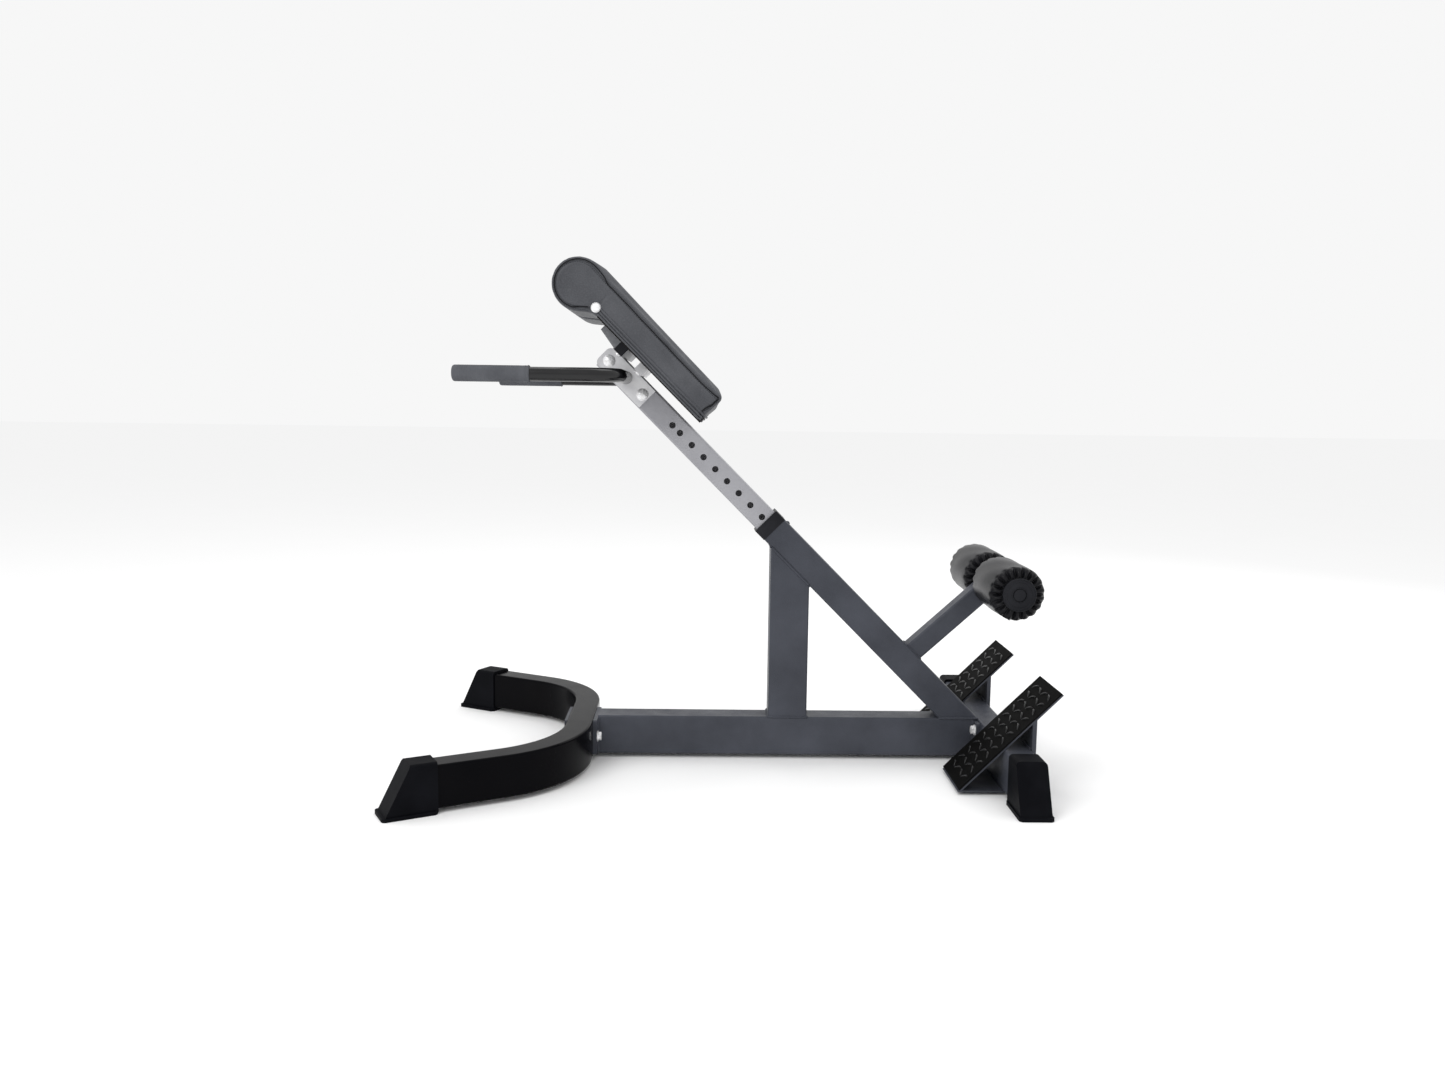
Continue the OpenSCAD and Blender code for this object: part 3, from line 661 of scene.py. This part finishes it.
def calmed(path, rounds):
    """The path with its small jumps averaged out."""
    for _ in range(rounds):
        middle = [(a + b * 2 + c) / 4 for a, b, c in zip(path, path[1:], path[2:])]
        path = [path[0]] + middle + [path[-1]]
    return path


def press_lines(mesh, lines, depth, width, puff):
    """Presses grooves into a mesh along paths, with a soft rise on both sides."""
    tree = KDTree(sum(len(line) for line in lines))
    number = 0
    for line in lines:
        for point in line:
            tree.insert(point, number)
            number += 1
    tree.balance()
    normals = [v.normal.copy() for v in mesh.vertices]
    for vertex, normal in zip(mesh.vertices, normals):
        gap = tree.find(vertex.co)[2]
        if gap > width * 8:
            continue
        sunk = depth * math.exp(-(gap / width) ** 2)
        raised = puff * math.exp(-((gap - 3.2 * width) / (1.8 * width)) ** 2)
        vertex.co += normal * (raised - sunk)


def press_spot(mesh, centre, depth, width):
    """Dents a mesh round one point."""
    for vertex in mesh.vertices:
        gap = (vertex.co - centre).length
        if gap < 3 * width:
            inwards = Vector((0.0, -math.copysign(1.0, centre.y), 0.0))
            vertex.co += inwards * depth * math.exp(-(gap / width) ** 2)


def seam_paths(outline, y_out, y_in):
    """The two side seams, from the roll's underside over the top to the lower edge."""
    ring = shrunk(outline, PAD_EDGE_R, outline[0][0])
    kept = ring[6:]
    paths = []
    for y in (y_out, y_in):
        corners = [post_point(off, y, s) for off, s in kept]
        paths.append(resample(corners, SEAM_STEP))
    return paths


def trim_path(off, y_out, y_in, s_low, s_high):
    """A U round the pad's lower edge: down one side, across the end, up the other."""
    corner = 0.006
    places = [(y_out, s_high), (y_out, s_low + corner), (y_out + corner * 0.3, s_low + corner * 0.3),
              (y_out + corner, s_low), (y_in - corner, s_low),
              (y_in - corner * 0.3, s_low + corner * 0.3), (y_in, s_low + corner), (y_in, s_high)]
    return resample([post_point(off, y, s) for y, s in places], 0.003)


def stitches(tree, path, spacing, lift):
    """Short thread stitches along a path on a surface."""
    parts = []
    laid = on_surface(tree, resample(path, spacing), lift)
    for a, b in zip(laid, laid[1:]):
        start = a.lerp(b, 0.16)
        stop = a.lerp(b, 0.84)
        middle = start.lerp(stop, 0.5)
        radii = [0.00022, 0.00045, 0.00022]
        parts.append(join_rings(tube_rings([start, middle, stop], radii, 5)))
    return parts


def make_pads(leather_black, edge_black, thread):
    """Both hip pads; the right one is the left one's mirror image."""
    low, high = post_box("pad_cushion_left")
    y_out, y_in = low[1], high[1]
    outline = pad_outline()
    cage = outward(pad_cage(outline, y_out, y_in))
    cover = with_modifier(cage, "pad_remeshed", "REMESH", mode="VOXEL", voxel_size=PAD_VOXEL)
    cover = swollen(cover, outline[0][0] + 0.003)
    cover = with_modifier(cover, "pad_cover", "SUBSURF", levels=2,
                          render_levels=2)
    tree = surface_of(cover)
    seams = [calmed(on_surface(tree, path, 0.0), SEAM_ROUNDS)
             for path in seam_paths(outline, y_out, y_in)]
    press_lines(cover, seams, SEAM_DEPTH, SEAM_WIDTH, SEAM_PUFF)
    bolt_s = post_box("pad_side_bolts")
    bolt = post_point((bolt_s[0][0] + bolt_s[1][0]) / 2, y_out, (bolt_s[0][2] + bolt_s[1][2]) / 2)
    press_spot(cover, bolt, 0.0035, 0.016)
    up = Vector((ROOT_HALF, 0.0, ROOT_HALF))
    crease = resample([bolt + up * 0.007, bolt + up * 0.026], SEAM_STEP)
    press_lines(cover, [crease], 0.0018, 0.0022, 0.0004)
    tree = surface_of(cover)
    for polygon in cover.polygons:
        polygon.use_smooth = True

    under = outline[0][0]
    s_low = outline[0][1]
    s_high = (bolt_s[0][2] + bolt_s[1][2]) / 2 - 0.008
    trims = []
    for i in range(3):
        path = trim_path(under + 0.0030 + TRIM_PITCH * i, y_out, y_in, s_low, s_high)
        laid = on_surface(tree, path, 0.0006)
        radii = [TRIM_R] * len(laid)
        radii[0] = radii[-1] = 0.0004
        trims.append(join_rings(tube_rings(laid, radii, 10)))
    trim = merge("pad_trim_left", trims)

    cords = []
    for path in seam_paths(outline, y_out, y_in):
        laid = calmed(on_surface(tree, path[4:-4], 0.0006), SEAM_ROUNDS)
        cords.append(join_rings(tube_rings(laid, [CORD_R] * len(laid), 8)))
    cord = merge("pad_cords_left", cords)

    rows = []
    for path in seam_paths(outline, y_out, y_in):
        inside = [p + Vector((-ROOT_HALF, 0.0, -ROOT_HALF)) * 0.0055 for p in path]
        rows.extend(stitches(tree, inside, 0.0045, 0.00015))
    stitched = merge("pad_stitches_left", rows)

    for side in ("left", "right"):
        meshes = [cover, trim, cord, stitched]
        if side == "right":
            meshes = [mirrored(mesh, mesh.name.replace("left", "right")) for mesh in meshes]
        pad = add_piece("pad_cover_" + side, meshes[0], leather_black, "seat")
        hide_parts("pad_cushion_" + side)
        add_piece("pad_trim_" + side, meshes[1], leather_black, "seat")
        add_piece("pad_cords_" + side, meshes[2], edge_black, "seat")
        add_piece("pad_stitches_" + side, meshes[3], thread, "seat")


# ---- Rollers ----

def make_roller(side, leather_black):
    """A stuffed roller whose cover is gathered in pleats at both ends."""
    low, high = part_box("roller_foam_" + side)
    axis_x, axis_z = (low.x + high.x) / 2, (low.z + high.z) / 2
    radius = (high.z - low.z) / 2
    core_low, core_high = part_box("roller_core_" + side)
    hole = (core_high.z - core_low.z) / 2
    edge = ROLLER_EDGE_R
    length = high.y - low.y
    rng = random.Random(11)
    depths = [rng.uniform(0.75, 1.25) for _ in range(PLEATS)]
    shifts = [rng.uniform(-0.09, 0.09) for _ in range(PLEATS)]
    around = PLEATS * PLEAT_STEPS

    # From the hole out over the end face, round the edge, and on to the middle.
    half = []
    for i in range(10):
        r = hole + (radius - edge - hole) * i / 9
        rise = 0.0010 + 0.0035 * math.sin(math.pi * min(1.0, i / 9)) * 0.4
        fold = PLEAT_DEPTH * min(1.0, max(0.0, (r - 0.031) / 0.006))
        half.append((rise, r, fold))
    for i in range(1, 13):
        a = math.radians(90.0 * i / 12)
        fade = math.cos(a) ** 0.8 if i < 12 else 0.0
        half.append((0.0010 + edge * (1 - math.cos(a)), radius - edge + edge * math.sin(a),
                     PLEAT_DEPTH * fade))
    for i in range(1, 11):
        half.append((edge + 0.001 + (length / 2 - edge - 0.001) * i / 10,
                     radius + 0.0012 * math.sin(math.pi * i / 20), 0.0))

    profile = [(low.y + d, r, fold, 1.0) for d, r, fold in half]
    profile += [(high.y - d, r, fold, -1.0) for d, r, fold in reversed(half[:-1])]
    rings = []
    for y, r, fold, inwards in profile:
        ring = []
        end_gap = min(y - low.y, high.y - y)
        fade = math.exp(-(end_gap / 0.016) ** 2)
        for j in range(around):
            turn = j / around * PLEATS
            number = int(turn) % PLEATS
            part = turn - int(turn)
            dip = abs(math.sin(math.pi * (part + shifts[number] * math.sin(math.pi * part))))
            valley = (1.0 - dip) ** 1.2 * depths[number]
            a = math.tau * j / around
            soft = 0.0007 * math.sin(2 * a + 30 * y) + 0.0005 * math.sin(5 * a - 55 * y)
            reach = r - fold * 0.55 * valley
            if r > radius - 0.001:
                reach += -0.0026 * fade * valley + soft * (1 - fade) - 0.0004
            ring.append(Vector((axis_x + reach * math.cos(a), y + inwards * fold * valley,
                                axis_z + reach * math.sin(a))))
        rings.append(ring)
    points, faces = join_rings(rings)
    mesh = outward(mesh_from("roller_cover_" + side, points, faces))
    roller = add_piece("roller_cover_" + side, mesh, leather_black, side + "_roller")
    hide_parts("roller_foam_" + side)

    # The seam that closes the cover, along the side away from the user.
    seam = []
    for i in range(41):
        y = low.y + 0.012 + (length - 0.024) * i / 40
        a = math.radians(-105)
        seam.append(Vector((axis_x + (radius - 0.0004) * math.cos(a), y,
                            axis_z + (radius - 0.0004) * math.sin(a))))
    bead = merge("roller_seam_" + side, [join_rings(tube_rings(seam, [0.0011] * 41, 8))])
    add_piece("roller_seam_" + side, bead, leather_black, side + "_roller")


def make_cap_rings(side, plastic_black):
    """Raised rings and a rounded rim on the roller's outer cap."""
    low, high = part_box("roller_cap_" + side)
    axis_x, axis_z = (low.x + high.x) / 2, (low.z + high.z) / 2
    radius = (high.z - low.z) / 2
    y = low.y if side == "left" else high.y
    parts = []
    for r, thick in ((radius - 0.0012, 0.0014), (radius - 0.0075, 0.0006), (0.0145, 0.0009)):
        ring = [Vector((axis_x + r * math.cos(math.tau * i / 96), y,
                        axis_z + r * math.sin(math.tau * i / 96))) for i in range(96)]
        parts.append(join_rings(tube_rings(ring, [thick] * 96, 8, True), closed_path=True))
    mesh = merge("roller_cap_rings_" + side, parts)
    add_piece("roller_cap_rings_" + side, mesh, plastic_black, side + "_roller")


# ---- Foot plates ----

def make_treads(side, rubber_black):
    """Raised wavy dashes on the foot plate's mat."""
    low, high = post_box("tread_mat_" + side)
    face_s = high[2]
    pitch_off, pitch_y = 0.0200, 0.0285
    dash = 0.0250
    rows = int((high[0] - low[0] - 0.010) / pitch_off)
    columns = int((high[1] - low[1] - 0.012) / pitch_y)
    first_off = (low[0] + high[0] - (rows - 1) * pitch_off) / 2
    first_y = (low[1] + high[1] - (columns - 1) * pitch_y) / 2
    parts = []
    for row in range(rows):
        for column in range(columns):
            off = first_off + row * pitch_off
            y = first_y + column * pitch_y
            lean = 0.42 if (row + column) % 2 else -0.42
            path = []
            for i in range(7):
                t = i / 6 - 0.5
                wave = 0.0026 * math.cos(math.pi * t)
                path.append(post_point(off + dash * t * math.sin(lean) + wave,
                                       y + dash * t * math.cos(lean), face_s))
            radii = [0.0006, 0.0017, 0.0022, 0.0023, 0.0022, 0.0017, 0.0006]
            parts.append(join_rings(tube_rings(path, radii, 8)))
    mesh = merge("tread_dashes_" + side, parts)
    add_piece("tread_dashes_" + side, mesh, rubber_black, "frame")


# ---- Grips ----

def make_grip_rings(side, rubber_black):
    """Shallow moulded rings round each grip, and the thick ring at its open end."""
    low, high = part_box("grip_" + side)
    axis_y, axis_z = (low.y + high.y) / 2, (low.z + high.z) / 2
    radius = (high.z - low.z) / 2
    parts = []
    rings = [(high.x - 0.002, 0.0014), (high.x - 0.007, 0.0007)]
    rings += [(low.x + 0.012 + 0.004 * i, 0.0005) for i in range(28)]
    for x, thick in rings:
        ring = [Vector((x, axis_y + (radius - thick * 0.3) * math.cos(math.tau * i / 48),
                        axis_z + (radius - thick * 0.3) * math.sin(math.tau * i / 48)))
                for i in range(48)]
        parts.append(join_rings(tube_rings(ring, [thick] * 48, 6, True), closed_path=True))
    mesh = merge("grip_rings_" + side, parts)
    add_piece("grip_rings_" + side, mesh, rubber_black, "seat")


# ---- Scene ----

def make_camera():
    """The camera, turned by yaw, pitch and roll from a level view along +Y."""
    camera = bpy.data.objects.new("camera", bpy.data.cameras.new("camera"))
    bpy.context.collection.objects.link(camera)
    camera.data.lens = CAMERA_LENS
    camera.data.sensor_width = 36.0
    camera.data.clip_start = 0.05
    camera.data.clip_end = 50.0
    yaw, pitch, roll = (math.radians(v) for v in (CAMERA_YAW, CAMERA_PITCH, CAMERA_ROLL))
    ahead = Vector((math.sin(yaw) * math.cos(pitch), math.cos(yaw) * math.cos(pitch),
                    -math.sin(pitch)))
    level = Vector((math.cos(yaw), -math.sin(yaw), 0.0))
    upright = level.cross(ahead)
    right = level * math.cos(roll) + upright * math.sin(roll)
    up = upright * math.cos(roll) - level * math.sin(roll)
    turn = Matrix((right, up, -ahead)).transposed()
    camera.matrix_world = Matrix.Translation(CAMERA_PLACE) @ turn.to_4x4()
    bpy.context.scene.camera = camera


def make_light(name, place, target, size, power):
    """A rectangular lamp at a place, aimed at a target."""
    light = bpy.data.lights.new(name, "AREA")
    light.shape = "RECTANGLE"
    light.size, light.size_y = size
    light.energy = power
    lamp = bpy.data.objects.new(name, light)
    bpy.context.collection.objects.link(lamp)
    lamp.location = place
    lamp.rotation_mode = "QUATERNION"
    lamp.rotation_quaternion = (Vector(target) - Vector(place)).to_track_quat("-Z", "Y")


def make_studio():
    """The pale floor, the even pale surroundings and three soft lamps."""
    corners = [(x * FLOOR_HALF, y * FLOOR_HALF, 0.0) for x, y in ((-1, -1), (1, -1), (1, 1), (-1, 1))]
    floor = bpy.data.objects.new("floor", mesh_from("floor", corners, [(0, 1, 2, 3)], False))
    bpy.context.collection.objects.link(floor)
    floor.data.materials.append(floor_paint())
    world = bpy.data.worlds.new("studio")
    world.use_nodes = True
    background = world.node_tree.nodes["Background"]
    background.inputs["Color"].default_value = (1.0, 1.0, 1.0, 1.0)
    background.inputs["Strength"].default_value = WORLD_STRENGTH
    bpy.context.scene.world = world
    bpy.context.scene.view_settings.view_transform = "Standard"
    make_light("key", (-2.2, -2.6, 2.6), (0.0, 0.0, 0.5), (1.8, 1.8), 44.0)
    make_light("top", (0.2, 0.4, 3.4), (0.0, 0.0, 0.3), (2.6, 1.6), 20.0)
    make_light("rim", (2.4, 1.8, 2.0), (0.0, 0.0, 0.4), (1.4, 1.4), 12.0)


def paint_nodes(finishes):
    """Gives every CAD node the finish of its record slot, with a few of their own."""
    slots = {s["node"]: s["material_slot"] for s in frame["record"]["subparts"]}
    for name, piece in NODES.items():
        piece.data.materials.clear()
        piece.data.materials.append(finishes[slots[name]])
    # The bracket and upper crossbar get the plated grey darkened as painted shade under the pads.
    for node in ("pad_bracket", "pad_crossbar_upper"):
        NODES[node].data.materials[0] = finishes["bracket_grey_painted_shade"]
    NODES["handlebar"].data.materials[0] = finishes["bar_gloss"]
    for side in ("left", "right"):
        NODES["grip_" + side].data.materials[0] = finishes["grip_rubber"]
        NODES["tread_mat_" + side].data.materials[0] = finishes["tread_rubber"]


def soften_nodes():
    """Rounds the edges of the CAD nodes that show sharp ones."""
    for side in ("left", "right"):
        soften("front_cap_" + side, 0.0022, 3)
        soften("rear_cap_" + side, 0.0022, 3)
        soften("foot_plate_" + side, 0.0008)
        soften("foot_bracket_" + side, 0.0010)
        soften("tread_mat_" + side, 0.0006)
        soften("head_plate_" + side, 0.0006)
        soften("roller_cap_" + side, 0.0010)
        soften("grip_" + side, 0.0006)
    for node in ("front_flange_plate", "front_backing_plate", "rear_flange_plate", "pad_bracket",
                 "pad_crossbar_upper", "pad_crossbar_lower", "sleeve_bush", "post_end_plug"):
        soften(node, 0.0007)
    for node in ("front_bolts", "front_nuts", "rear_bolts"):
        soften(node, 0.0006)


def main():
    """Builds the camera, the finishes, every added piece and the studio."""
    make_camera()
    finishes = {
        "frame_charcoal": powder_coat(),
        "frame_gloss_black": gloss_shader("frame_gloss_black", 0.04),
        "bar_gloss": gloss_shader("bar_gloss", 0.45),
        "post_satin": satin_grey(),
        "bracket_grey_painted_shade": bracket_grey_painted_shade(),
        "plate_steel": plated_steel(),
        "bolt_chrome": chrome(),
        "black_leather": leather_shader("pad_leather", (0.050, 0.052, 0.059),
                                        (0.098, 0.101, 0.111), 1.30, 0.42),
        "roller_leather": leather_shader("roller_leather", (0.003, 0.003, 0.004),
                                         (0.009, 0.009, 0.011), 1.26, 0.28),
        "black_rubber": rubber_shader("cap_rubber", (0.0020, 0.0022, 0.0034),
                                      (0.0055, 0.0058, 0.0078), 0.05, 0.62),
        "grip_rubber": rubber_shader("grip_rubber", (0.066, 0.069, 0.078),
                                     (0.110, 0.114, 0.126), 0.15, 0.75),
        "tread_rubber": rubber_shader("tread_rubber", (0.0022, 0.0022, 0.0022),
                                      (0.0056, 0.0055, 0.0052), 0.03, 0.62),
        "dash_rubber": rubber_shader("dash_rubber", (0.0050, 0.0050, 0.0055),
                                     (0.0090, 0.0090, 0.0095), 0.32, 0.26),
        "black_plastic": plastic(),
        "backing_cloth": backing_cloth(),
    }
    paint_nodes(finishes)
    soften_nodes()
    add_piece("frame_welds", frame_welds(), finishes["frame_charcoal"], "frame")
    make_pads(finishes["black_leather"], finishes["roller_leather"], finishes["black_plastic"])
    for side in ("left", "right"):
        make_roller(side, finishes["roller_leather"])
        make_cap_rings(side, finishes["black_plastic"])
        make_treads(side, finishes["dash_rubber"])
        make_grip_rings(side, finishes["grip_rubber"])
    make_studio()


main()
